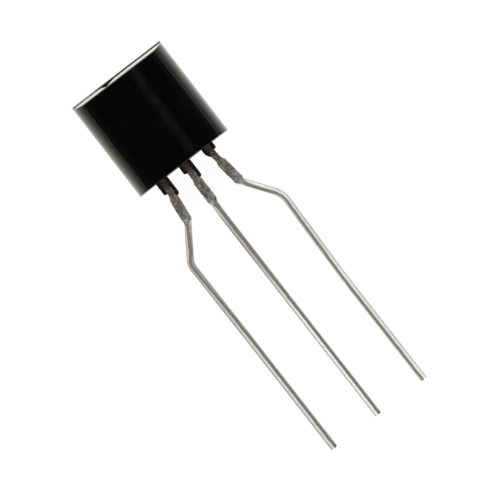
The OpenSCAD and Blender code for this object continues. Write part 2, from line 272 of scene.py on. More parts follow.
@dataclass(frozen=True)
class MouldCompoundLook:
    """Values of the glossy black epoxy moulding compound. Places are in millimetres."""

    black: Colour = (0.0010, 0.0008, 0.0005)
    dusty: Colour = (0.0019, 0.0016, 0.0011)
    rubbed: Colour = (0.0036, 0.0032, 0.0020)
    # Painted highlight: a faint bluish streak down the flat front.
    streak_highlight: Colour = (0.0066, 0.0057, 0.0063)
    dust: Colour = (0.27, 0.245, 0.21)
    index: float = 1.5
    gloss_roughness: float = 0.07
    scuffed_roughness: float = 0.2
    edge_roughness: float = 0.45
    clouds: Pattern = Pattern(0.9, 4.0, (0.42, 0.72))
    scuffs: Pattern = Pattern(3.0, 6.0, (0.56, 0.76), stretch=(3.0, 0.4, 3.0), roughness=0.7)
    pits: Pattern = Pattern(26.0, 1.0, (0.7, 0.78))
    ripples: Pattern = Pattern(1.6, 1.0)
    ripple_depth: float = 0.0006
    fine: Pattern = Pattern(60.0)
    fine_depth: float = 0.0006 / 30
    rubbed_span: Point = (1.6, 1.98)
    edge_rise: Point = (-0.09, -0.06)
    edge_fall: Span = (-0.014, -0.001, 1.0, 0.0)
    # Place, slant, width, fade and patches of the painted highlight streak.
    streak_highlight_middle: float = 0.655
    streak_highlight_slant: float = 0.02
    streak_highlight_side: Span = (0.0, 0.36, 1.0, 0.0)
    streak_highlight_fade: Span = (-2.4, 2.4, 0.75, 1.0)
    streak_highlight_patches: Pattern = Pattern(1.4, 5.0, (0.32, 0.62), (0.3, 1.0), roughness=0.6)
    ledge_height: Point = (-1.45, -1.43)
    ledge_end: Point = (2.468, 2.482)
    dust_left: Span = (-1.35, -0.95, 1.0, 0.0)
    dust_right: Span = (0.0, 2.2, 0.05, 0.42)
    dust_patches: Pattern = Pattern(5.0, 3.0, (0.3, 0.6), (0.6, 1.0))


class MouldCompound(Finish):
    """Glossy black moulding compound with faint ripple, pits, scuffs, a painted highlight streak
    and ledge dust.
    """

    name = "mould_compound"
    look = MouldCompoundLook()

    def build(self) -> None:
        """Builds the nodes."""
        graph, look = self.graph, self.look
        self.across, self.along, self.height = graph.axes(self.place)
        ripple = self.bump(self.grain(look.ripples), look.ripple_depth)
        fine = self.bump(self.grain(look.fine), look.fine_depth, under=ripple)
        pits = graph.math("SUBTRACT", 1.0, self.mapped(look.pits))
        dark = graph.blend(self.mapped(look.clouds), look.black, look.dusty)
        out = graph.math("ABSOLUTE", self.across)
        rubbed = graph.blend(graph.ramp(out, *look.rubbed_span), dark, look.rubbed)
        # Painted highlight streak on the flat front.
        highlit = graph.blend(self.streak_highlight(), rubbed, look.streak_highlight)
        smooth = graph.ramp(self.mapped(look.scuffs), 0.0, 1.0, look.gloss_roughness,
                            look.scuffed_roughness)
        dull = graph.math("MULTIPLY", self.edge(), look.edge_roughness)
        graph.feed(self.shader, Base_Color=graph.blend(self.dust(), highlit, look.dust),
                   Roughness=graph.math("MAXIMUM", smooth, dull), IOR=look.index,
                   Normal=self.bump(pits, look.ripple_depth, under=fine))

    def streak_highlight(self) -> Socket:
        """A faint painted highlight streak down the flat front.

        Returns:
            How strong the painted highlight is at a point, from 0 to 1.
        """
        graph, look = self.graph, self.look
        middle = graph.math("MULTIPLY_ADD", self.along, look.streak_highlight_slant, look.streak_highlight_middle)
        aside = graph.math("ABSOLUTE", graph.math("SUBTRACT", self.across, middle))
        strength = graph.math("MULTIPLY", self.mapped(look.streak_highlight_patches),
                              graph.ramp(self.along, *look.streak_highlight_fade))
        return graph.math("MULTIPLY", graph.ramp(aside, *look.streak_highlight_side), strength)

    def edge(self) -> Socket:
        """The two rounded long edges of the flat front, which are rubbed dull.

        Returns:
            1 on the edges and 0 elsewhere.
        """
        graph, look = self.graph, self.look
        return graph.math("MULTIPLY", graph.ramp(self.height, *look.edge_rise),
                          graph.ramp(self.height, *look.edge_fall))

    def dust(self) -> Socket:
        """Moulding dust on the ledge at the top end, thickest towards the ends of the ledge.

        Returns:
            How dusty a point is, from 0 to 1.
        """
        graph, look = self.graph, self.look
        thick = graph.math("ADD", graph.ramp(self.across, *look.dust_left),
                           graph.ramp(self.across, *look.dust_right))
        patchy = graph.math("MULTIPLY", thick, self.mapped(look.dust_patches))
        ledge = graph.math("MULTIPLY", graph.ramp(self.height, *look.ledge_height),
                           graph.ramp(self.along, *look.ledge_end))
        return graph.math("MULTIPLY", patchy, ledge, clamp=True)


@dataclass(frozen=True)
class BrokenResinLook:
    """Values of moulding compound where it was squeezed thin or broken off."""

    dark: Colour = (0.0030, 0.0022, 0.0016)
    brown: Colour = (0.012, 0.0075, 0.005)
    mottle: Pattern = Pattern(9.0, 3.0, (0.45, 0.7))
    grains: Pattern = Pattern(24.0, 5.0, roughness=0.65)
    relief: float = 0.012
    index: float = 1.5
    roughness: float = 0.6
    sheen_level: float = 0.12


class BrokenResin(Finish):
    """Dull, granular resin of the flash and the broken gate."""

    name = "broken_resin"
    look = BrokenResinLook()

    def build(self) -> None:
        """Builds the nodes."""
        graph, look = self.graph, self.look
        graph.feed(self.shader, Roughness=look.roughness, IOR=look.index,
                   Specular_IOR_Level=look.sheen_level,
                   Base_Color=graph.blend(self.mapped(look.mottle), look.dark, look.brown),
                   Normal=self.bump(self.grain(look.grains), look.relief))


@dataclass(frozen=True)
class TinnedLeadLook:
    """Values of the dull tin on the leads, and of the rough metal on necks and blades.

    Places, widths and depths are in millimetres. The rough metal is dull from its grit alone.
    """

    tin: Colour = (1.0, 1.0, 0.975)
    warm_tin: Colour = (1.0, 0.89, 0.74)
    cool_tin: Colour = (0.88, 0.94, 1.0)
    # Painted shade: a dark band along the upper side of each wire, plain and warm.
    shade_band: Colour = (0.20, 0.195, 0.185)
    warm_shade_band: Colour = (0.215, 0.175, 0.13)
    blade: Colour = (0.235, 0.230, 0.210)
    upper_blade: Colour = (0.215, 0.190, 0.148)
    stain: Colour = (0.082, 0.075, 0.062)
    neck: Colour = (0.058, 0.044, 0.034)
    resin_film: Colour = (0.014, 0.010, 0.007)
    tin_metal: float = 1.0
    blade_metal: float = 0.15
    tin_roughness: float = 0.6
    blade_roughness: float = 0.0
    spots: Pattern = Pattern(7.0, 3.0)
    spot_gain: float = 0.25
    side_span: Point = (-0.12, 0.12)
    # Painted highlight on the tin, just left of the painted shade band.
    tin_highlight_near: float = 0.065
    tin_highlight_far: float = 0.155
    tin_highlight_soft: float = 0.03
    tin_highlight_gain: float = 0.32
    beside_tin_highlight: float = 0.95
    drift: Pattern = Pattern(1.8, 3.0, stretch=(0.0, 0.0, 1.0))
    drift_width: float = 0.06
    shade_band_fade: Span = (0.5, 1.45, 1.0, 0.0)
    upper_side: Point = (0.0, 0.05)
    wear_span: Point = (0.0, 0.3)
    wear_spots: float = 0.35
    clean_span: Point = (0.05, 0.2)
    clean_gain: float = -0.55
    neck_span: Point = (0.45, 1.0)
    upper_span: Point = (1.2, 2.0)
    film_span: Span = (0.65, 0.85, 1.0, 0.0)
    film_edge: Point = (0.06, 0.11)
    stain_streaks: Pattern = Pattern(1.0, 3.0, stretch=(10.0, 10.0, 2.5))
    stain_spots: Pattern = Pattern(8.0, 3.0, roughness=0.65)
    stain_span: Point = (0.84, 1.16)
    draw_marks: Pattern = Pattern(14.0, 4.0, stretch=(6.0, 6.0, 0.12))
    draw_depth: float = 0.0016
    grit: Pattern = Pattern(9.0, 5.0, roughness=0.55)
    grit_depth: float = 0.014


class TinnedLead(Finish):
    """Dull tin with draw marks, a painted shade band and a painted highlight. Its wear attribute
    turns it into the blade.

    The route attribute gives the place across and above the middle line and along it, in
    millimetres. Other attributes of the lead give the place across it and half the width of the
    painted shade band, the tin's painted brightness, and how far it is tinted.
    """

    name = "tinned_lead"
    look = TinnedLeadLook()

    def build(self) -> None:
        """Builds the nodes."""
        graph, look = self.graph, self.look
        self.route = self.attribute("route", "Vector")
        self.across, self.above, self.down = graph.axes(self.route)
        self.tint = self.attribute("warmth")
        self.wear = self.attribute("wear")
        self.spots = graph.math("SUBTRACT", self.grain(look.spots), 0.5)
        offset = self.beside_shade_band()
        aside = graph.math("ABSOLUTE", offset)
        # Painted shade band on the upper side of the wire, warmer where the lead is tinted.
        shade_tone = graph.blend(self.tint, look.shade_band, look.warm_shade_band)
        tin = graph.blend(self.in_shade_band(aside), self.bare_tin(offset), shade_tone)
        worn = self.worn(aside)
        drawn = self.bump(self.grain(look.draw_marks, self.route), look.draw_depth)
        grit = graph.math("MULTIPLY", self.grain(look.grit), self.wear)
        graph.feed(self.shader, Base_Color=graph.blend(worn, tin, self.blade()),
                   Roughness=graph.between(worn, look.tin_roughness, look.blade_roughness),
                   Metallic=graph.between(worn, look.tin_metal, look.blade_metal),
                   Normal=self.bump(grit, look.grit_depth, under=drawn))

    def attribute(self, name: str, output: str = "Fac") -> Socket:
        """Reads an attribute of the lead, as the named output of its node."""
        return self.graph.node("ShaderNodeAttribute", attribute_name=name).outputs[output]

    def worn(self, aside: Socket) -> Socket:
        """Where the lead is bare blade: down to a point in the middle of the taper.

        Args:
            aside: Distance from the middle of the painted shade band.

        Returns:
            1 on the blade and 0 on the tinned wire.
        """
        graph, look = self.graph, self.look
        cleaner = graph.math("MULTIPLY", graph.ramp(aside, *look.clean_span), look.clean_gain)
        spotty = graph.math("MULTIPLY_ADD", self.spots, look.wear_spots, cleaner)
        return graph.ramp(graph.math("ADD", self.wear, spotty), *look.wear_span)

    def beside_shade_band(self) -> Socket:
        """Distance to the right of the middle of the painted shade band, which wanders a little.

        Returns:
            The distance, in millimetres.
        """
        graph, look = self.graph, self.look
        drift = graph.math("SUBTRACT", self.grain(look.drift, self.route), 0.5)
        middle = graph.math("MULTIPLY_ADD", drift, look.drift_width, self.attribute("shade_band"))
        return graph.math("SUBTRACT", self.across, middle)

    def in_shade_band(self, aside: Socket) -> Socket:
        """How far a point lies in the painted shade band, on the upper side alone.

        Args:
            aside: Distance from the middle of the painted shade band.

        Returns:
            1 in the painted shade band and 0 outside it.
        """
        graph, look = self.graph, self.look
        share = graph.math("DIVIDE", aside, self.attribute("shade_band_half"))
        return graph.math("MULTIPLY", graph.ramp(share, *look.shade_band_fade),
                          graph.ramp(self.above, *look.upper_side))

    def bare_tin(self, offset: Socket) -> Socket:
        """Colour of the tin: spotty, with a painted highlight left of the painted shade band,
        painted brightness along the lead, and warm at left and cool at right.

        Args:
            offset: Distance to the right of the middle of the painted shade band.

        Returns:
            The colour.
        """
        graph, look = self.graph, self.look
        # Painted highlight just left of the painted shade band.
        left = graph.math("MULTIPLY", offset, -1.0)
        rise = graph.ramp(left, look.tin_highlight_near, look.tin_highlight_near + look.tin_highlight_soft)
        fall = graph.ramp(left, look.tin_highlight_far - look.tin_highlight_soft, look.tin_highlight_far, 1.0, 0.0)
        tin_highlight = graph.math("MULTIPLY_ADD", graph.math("MULTIPLY", rise, fall), look.tin_highlight_gain,
                           look.beside_tin_highlight)
        spotty = graph.math("ADD", tin_highlight, graph.math("MULTIPLY", self.spots, look.spot_gain))
        # The tin's painted brightness along the lead, as painted shade.
        painted_lightness = graph.math("MULTIPLY", self.attribute("painted_lightness"), spotty, clamp=True)
        sides = graph.blend(graph.ramp(self.across, *look.side_span), look.warm_tin,
                            look.cool_tin)
        return graph.blend(painted_lightness, (0.0, 0.0, 0.0), graph.blend(self.tint, look.tin, sides))

    def blade(self) -> Socket:
        """Colour of the rough metal: dark beside the case, and filmed with resin at its edges.

        Returns:
            The colour.
        """
        graph, look = self.graph, self.look
        stain = graph.math("ADD", self.grain(look.stain_streaks, self.route),
                           self.grain(look.stain_spots))
        bare = graph.blend(graph.ramp(self.down, *look.upper_span), look.upper_blade, look.blade)
        stained = graph.blend(graph.ramp(stain, *look.stain_span), bare, look.stain)
        darkened = graph.blend(graph.ramp(self.down, *look.neck_span), look.neck, stained)
        edge = graph.ramp(graph.math("ABSOLUTE", self.across), *look.film_edge)
        film = graph.math("MULTIPLY", edge, graph.ramp(self.down, *look.film_span))
        return graph.blend(film, darkened, look.resin_film)


@dataclass(frozen=True)
class TwoToneLook:
    """Values of a finish of two near tones, for the pieces inside the case."""

    name: str
    dark: Colour
    light: Colour
    roughness: float
    metal: float
    tones: Pattern
    relief: float = 0.0


class TwoTone(Finish):
    """A finish of two near tones, with the same pattern as relief where it has any."""

    def __init__(self, look: TwoToneLook) -> None:
        """Makes the finish that a look describes."""
        self.name, self.look = look.name, look
        super().__init__()

    def build(self) -> None:
        """Builds the nodes."""
        graph, look = self.graph, self.look
        grain = self.grain(look.tones)
        tone = graph.ramp(grain, *look.tones.span)
        graph.feed(self.shader, Base_Color=graph.blend(tone, look.dark, look.light),
                   Roughness=look.roughness, Metallic=look.metal)
        if look.relief > 0.0:
            graph.feed(self.shader, Normal=self.bump(grain, look.relief))


SILICON = TwoToneLook("silicon", (0.11, 0.12, 0.15), (0.17, 0.17, 0.2), 0.15, 0.4,
                      Pattern(8.0, span=(0.4, 0.6)))
SILVER_EPOXY = TwoToneLook("silver_epoxy", (0.4, 0.4, 0.39), (0.55, 0.55, 0.53), 0.5, 0.7,
                           Pattern(40.0, 3.0, span=(0.4, 0.6)), relief=0.002)
GOLD_WIRE = TwoToneLook("gold_wire", (0.8, 0.55, 0.2), (0.9, 0.65, 0.28), 0.22, 1.0,
                        Pattern(30.0, span=(0.35, 0.65)))


# ---- Meshes ----


def place_object(name: str, data: bpy.types.ID) -> bpy.types.Object:
    """Puts a new object into the scene, at the origin.

    Args:
        name: The object's name.
        data: Its mesh, lamp or camera.

    Returns:
        The object.
    """
    made = bpy.data.objects.new(name, data)
    bpy.context.scene.collection.objects.link(made)
    return made


def plain_mesh(source: bpy.types.Object, name: str) -> bpy.types.Object:
    """Turns an object in millimetres and its modifiers into a plain mesh in metres.

    Args:
        source: The object, which is removed.
        name: The name of the new object.

    Returns:
        The new object, at the origin.
    """
    bpy.context.view_layer.update()
    graph = bpy.context.evaluated_depsgraph_get()
    mesh = bpy.data.meshes.new_from_object(source.evaluated_get(graph), depsgraph=graph,
                                           preserve_all_data_layers=True)
    bpy.data.objects.remove(source)
    mesh.name = name
    mesh.transform(Matrix.Scale(MM, 4))
    return place_object(name, mesh)


def mesh_object(name: str, build: bmesh.types.BMesh) -> bpy.types.Object:
    """Puts a finished bmesh into a new object in the scene, and frees it.

    Args:
        name: The name of the object and its mesh.
        build: The mesh in the making.

    Returns:
        The new object.
    """
    mesh = bpy.data.meshes.new(name)
    build.to_mesh(mesh)
    build.free()
    return place_object(name, mesh)


def loft(rings: Sequence[Sequence[Vector]]) -> bmesh.types.BMesh:
    """Joins closed rings of points into a tube with both ends filled.

    Args:
        rings: The rings, each with as many points.

    Returns:
        The tube as a closed mesh.
    """
    build = bmesh.new()
    rows = [[build.verts.new(point) for point in ring] for ring in rings]
    count = len(rows[0])
    faces = [build.faces.new((low[i], low[(i + 1) % count], high[(i + 1) % count], high[i]))
             for low, high in zip(rows, rows[1:]) for i in range(count)]
    faces.append(build.faces.new(rows[0][::-1]))
    faces.append(build.faces.new(rows[-1]))
    bmesh.ops.recalc_face_normals(build, faces=faces)
    return build


def arc(centre: Sequence[float], radius: float, start: float, turn: float,
        steps: int) -> list[Point]:
    """Points along an arc, from its start to its end.

    Args:
        centre: Its centre.
        radius: Its radius.
        start: The angle at which it starts.
        turn: The angle that it covers.
        steps: How many parts it is divided into.

    Returns:
        One point more than there are steps.
    """
    angles = [start + turn * i / steps for i in range(steps + 1)]
    return [(centre[0] + radius * math.cos(angle), centre[1] + radius * math.sin(angle))
            for angle in angles]


def mirrored(right: Sequence[Point]) -> list[Point]:
    """An outline's right side, and then the same points on its left side, backwards."""
    return [*right, *((-x, z) for x, z in reversed(right))]


def dress(piece: bpy.types.Object, finish: bpy.types.Material, node: str) -> None:
    """Gives a piece its material, its body and the CAD node that it stands for.

    Args:
        piece: The finished piece.
        finish: Its material.
        node: The CAD node that it replaces.
    """
    piece.data.materials.clear()
    piece.data.materials.append(finish)
    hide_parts(node)
    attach(piece, BODY)
    log.info("%s: %d faces", piece.name, len(piece.data.polygons))


# ---- Case ----


@dataclass
class MouldedCase:
    """The moulded case: two drafted halves, the broken gate and the flash beside the necks.

    The skin is how far the round surface stays inside the solid's. Each level of the gate has its
    height above the plane of the leads, its share of the gate's full width, and its shift to the
    right. Each fin of flash has its side, the place of its neck in steps of the pitch, its
    length, how much shorter its outer edge is, and its width.
    """

    width: float = 4.92
    height: float = 4.95
    flat_to_leads: float = 1.42
    draft: float = 4.4
    back_draft: float = 2.2
    land: float = 0.6
    front_edge: float = 0.055
    mould_step: float = 0.05
    skin: float = 0.002
    rim: float = 0.042
    foot_rim: float = 0.01
    rim_steps: int = 2
    section_steps: int = 144
    corner_steps: int = 8
    ejector_radius: float = 0.5
    ejector_depth: float = 0.08
    ejector_steps: int = 64
    lead_pitch: float = 1.27
    neck_width: float = 0.33
    gate_width: float = 0.8
    gate_height: float = 0.045
    gate_levels: tuple[tuple[float, float, float], ...] = (
        (-0.05, 1.45, 0.18), (0.08, 1.4, 0.18), (0.22, 1.0, 0.12), (0.42, 0.55, 0.03),
        (0.62, 0.25, 0.0), (0.72, 0.08, 0.0))
    gate_off: float = 0.64
    gate_outline: tuple[Point, ...] = ((-0.5, -3.0), (-0.5, 0.0), (-0.24, 0.4), (-0.12, 0.9),
                                       (0.04, 1.0), (0.16, 0.55), (0.5, 0.0), (0.5, -3.0))
    flash_lap: float = 0.035
    flash_thickness: float = 0.34
    flash_root: float = 0.3
    flash_chip: Point = (0.6, 0.4)
    flash: tuple[tuple[Side, int, float, float, float], ...] = (
        (Side.LEFT, -1, 0.63, 0.05, 0.135),
        (Side.RIGHT, -1, 0.97, 0.12, 0.15),
        (Side.LEFT, 0, 0.44, 0.06, 0.135),
        (Side.RIGHT, 0, 0.95, 0.12, 0.15),
        (Side.LEFT, 1, 0.52, 0.28, 0.14),
        (Side.RIGHT, 1, 0.32, 0.06, 0.14),
    )
    grit: float = 0.012
    grit_grain: float = 14.0
    grit_step: float = 0.035
    grit_passes: int = 6
    seed: float = 3.0

    @property
    def radius(self) -> float:
        """Radius of the round back."""
        return self.width / 2 - self.skin

    @property
    def parting(self) -> float:
        """Height of the plane where the mould parts, which is the plane of the leads."""
        return -self.flat_to_leads

    @property
    def land_depth(self) -> float:
        """Distance from the parting plane down to the flat land of the round back."""
        return math.sqrt(self.radius ** 2 - (self.land / 2) ** 2)

    def back_outline(self) -> list[Point]:
        """Section of the back half, as points across and up.

        Returns:
            The points, from right to left.
        """
        turn = math.acos(self.land / 2 / self.radius)
        return mirrored(arc((0.0, self.parting), self.radius, 0.0, -turn,
                            self.section_steps // 2))

    def front_outline(self) -> list[Point]:
        """Section of the front half, with its two rounded long edges, as points across and up.

        Returns:
            The points, from right to left.
        """
        edge = self.front_edge
        corner = Vector((math.sqrt((self.radius - edge) ** 2 - (self.flat_to_leads - edge) ** 2),
                         -edge))
        touch = math.atan2(self.flat_to_leads - edge, corner.x)
        side = arc((0.0, self.parting), self.radius, 0.0, touch, self.section_steps // 6)
        rounding = arc(corner, edge, touch, math.pi / 2 - touch, self.corner_steps)
        return mirrored(side[:-1] + rounding)

    def half(self, outline: Sequence[Point], shift: float, draft: float) -> bmesh.types.BMesh:
        """One half of the case, whose ends lean in by the draft away from the parting plane.

        Args:
            outline: Its section, across and up.
            shift: How far the half sits above the middle.
            draft: Lean of its ends, in degrees.

        Returns:
            The half as a closed mesh.
        """
        lean = math.tan(math.radians(draft))
        return loft([[Vector((x, shift + end * (self.height / 2 - lean * abs(z - self.parting)),
                              z)) for x, z in outline] for end in (-1, 1)])

    def softened(self, name: str, build: bmesh.types.BMesh) -> bpy.types.Object:
        """A half whose sharp edges have a fine rim, wider at the top end.

        Args:
            name: The object's name.
            build: The half.

        Returns:
            The object, still with its modifiers.
        """
        weight = build.edges.layers.float.new("bevel_weight_edge")
        for edge in build.edges:
            if edge.calc_face_angle() > SHARP_ANGLE:
                top = edge.verts[0].co.y > 0
                edge[weight] = 1.0 if top else self.foot_rim / self.rim
        for face in build.faces:
            face.smooth = True
        half = mesh_object(name, build)
        rim = half.modifiers.new("rim", "BEVEL")
        rim.width = self.rim
        rim.segments = self.rim_steps
        rim.limit_method = "WEIGHT"
        rim.harden_normals = True
        return half

    def ejector_cutter(self) -> bpy.types.Object:
        """A disc that cuts the ejector-pin mark into the round back.

        Returns:
            The disc, hidden from renders.
        """
        build = bmesh.new()
        bmesh.ops.create_cone(build, cap_ends=True, segments=self.ejector_steps,
                              radius1=self.ejector_radius, radius2=self.ejector_radius,
                              depth=2 * self.ejector_depth,
                              matrix=Matrix.Translation((0, 0, self.parting - self.land_depth)))
        cutter = mesh_object("ejector_cutter", build)
        cutter.hide_render = True
        return cutter

    def granular(self, levels: Sequence[tuple[float, Sequence[Point]]]) -> bmesh.types.BMesh:
        """A broken piece of resin with a granular surface.

        Args:
            levels: Its outlines across and along, each with its height above the plane of the
                leads.

        Returns:
            The piece as a closed mesh.
        """
        build = loft([[Vector((x, y, self.parting + up)) for x, y in outline]
                      for up, outline in levels])
        bmesh.ops.triangulate(build, faces=build.faces[:])
        for _ in range(self.grit_passes):
            long = [edge for edge in build.edges if edge.calc_length() > self.grit_step]
            if not long:
                break
            bmesh.ops.subdivide_edges(build, edges=long, cuts=1)
            bmesh.ops.triangulate(build, faces=build.faces[:])
        build.normal_update()
        seed = Vector((0, 0, self.seed))
        shifts = [vert.normal * self.grit * noise.noise(vert.co * self.grit_grain + seed)
                  for vert in build.verts]
        for vert, shift in zip(build.verts, shifts):
            vert.co += shift
        return build

    def fin_outline(self, side: Side, neck: int, length: float, end: float,
                    width: float) -> list[Point]:
        """Outline of a fin of flash, whose broken end slopes away from its neck.

        Args:
            side: The side of the neck that it is on.
            neck: The neck's place from the middle of the case, in steps of the pitch.
            length: The fin's length beside the neck.
            end: How much shorter it is at its outer edge.
            width: How far it reaches out from the neck.

        Returns:
            The outline's points.
        """
        foot = -self.height / 2
        middle = neck * self.lead_pitch
        inner = middle + side.value * (self.neck_width / 2 - self.flash_lap)
        outer = middle + side.value * (self.neck_width / 2 + width)
        chip = inner + (outer - inner) * self.flash_chip[0]
        return [(inner, foot + self.flash_root), (inner, foot - length),
                (chip, foot - length + end * self.flash_chip[1]), (outer, foot - length + end),
                (outer, foot + self.flash_root)]

    def broken_levels(self) -> dict[str, list[tuple[float, Sequence[Point]]]]:
        """Outlines of the gate and of each fin of flash, with their heights, by name.

        Returns:
            For each piece, its levels for granular.
        """
        top, half = self.height / 2, self.flash_thickness / 2
        gate = [(up, [(x * share * self.gate_width - self.gate_off + shift,
                       top + y * self.gate_height) for x, y in self.gate_outline])
                for up, share, shift in self.gate_levels]
        fins = {f"flash_{number}": [(up, self.fin_outline(*fin)) for up in (-half, half)]
                for number, fin in enumerate(self.flash, 1)}
        return {"broken_gate": gate, **fins}

    def make(self) -> None:
        """Builds and dresses the two halves, the broken gate and the flash."""
        gloss, dull = MouldCompound().material, BrokenResin().material
        back = self.softened("case_back", self.half(self.back_outline(), self.mould_step,
                                                    self.back_draft))
        front = self.softened("case_front", self.half(self.front_outline(), 0.0, self.draft))
        cutter = self.ejector_cutter()
        cut = back.modifiers.new("ejector_mark", "BOOLEAN")
        cut.object = cutter
        cut.operation = "DIFFERENCE"
        for half in (back, front):
            dress(plain_mesh(half, half.name + "_half"), gloss, "case")
        bpy.data.objects.remove(cutter)
        for name, levels in self.broken_levels().items():
            piece = plain_mesh(mesh_object("resin", self.granular(levels)), name)
            dress(piece, dull, "case")


# ---- Leads ----


@dataclass
class LeadStock:
    """Sizes that the three leads share.

    A step is the greatest distance between two stops of a lead's route.
    """

    foot: float = -2.475
    plane: float = -1.42
    pitch: float = 1.27
    length: float = 14.22
    stock: float = 0.38
    root: float = 0.3
    neck_width: float = 0.33
    neck_length: float = 0.81
    shoulder: float = 0.2
    blade_width: float = 0.465
    blade_length: float = 0.98
    taper: float = 0.32
    wire_width: float = 0.28
    wire_thickness: float = 0.33
    stamped_edge: float = 0.035
    wire_edge: float = 0.06
    cut_edge: float = 0.015
    section_points: int = 32
    ragged: float = 0.05
    ragged_grain: float = 7.0
    grit_depth: float = 0.02
    grit_grain: float = 6.0
    flash_step: float = 0.03
    blade_step: float = 0.02
    kink_step: float = 0.05
    splay_step: float = 0.06
    wire_step: float = 0.1
    merge_distance: float = 0.0005
    cut_tolerance: float = 0.00001

    @property
    def wire_start(self) -> float:
        """Distance from the case down to the end of the blade."""
        return self.neck_length + self.shoulder + self.blade_length


@dataclass(frozen=True)
class Stop:
    """A place on a lead's route."""

    place: Point
    heading: float
    distance: float


class Route:
    """The middle line of a lead in the plane of the leads, from inside the case to its tip."""

    bend_step = math.radians(3)

    def __init__(self, start: Point) -> None:
        """Starts a route at a point in X and Y, towards -Y."""
        self.stops = [Stop(start, 0.0, 0.0)]

    def run(self, length: float, step: float) -> None:
        """Goes straight on.

        Args:
            length: Length of the run.
            step: Greatest distance between its stops.
        """
        first = self.end
        count = max(1, math.ceil(length / step))
        for i in range(1, count + 1):
            way = length * i / count
            self.stops.append(Stop((first.place[0] + way * math.sin(first.heading),
                                    first.place[1] - way * math.cos(first.heading)),
                                   first.heading, first.distance + way))

    def bend(self, turn: float, radius: float) -> None:
        """Bends, towards +X for a positive turn.

        Args:
            turn: Angle of the bend.
            radius: Radius of the bend's middle line.
        """
        first = self.end
        signed = math.copysign(radius, turn)
        centre = (first.place[0] + signed * math.cos(first.heading),
                  first.place[1] + signed * math.sin(first.heading))
        count = max(1, math.ceil(abs(turn) / self.bend_step))
        for i in range(1, count + 1):
            heading = first.heading + turn * i / count
            self.stops.append(Stop((centre[0] - signed * math.cos(heading),
                                    centre[1] - signed * math.sin(heading)),
                                   heading, first.distance + radius * abs(turn) * i / count))

    def run_out(self, length: float, stock: LeadStock) -> None:
        """Goes straight on to the very tip, with short steps along its worn edge."""
        self.run(length - stock.cut_edge, stock.wire_step)
        self.run(stock.cut_edge, stock.cut_edge / 2)

    @property
    def end(self) -> Stop:
        """The last stop."""
        return self.stops[-1]


@dataclass(frozen=True)
class Section:
    """The section of a lead at one place: a rectangle with rounded edges."""

    width: float
    thickness: float
    edge: float
    twist: float
    wear: float
    # Place across and half width of the painted shade band, then the tin's painted brightness.
    shade_band: float
    shade_band_half: float
    painted_lightness: float
    warmth: float


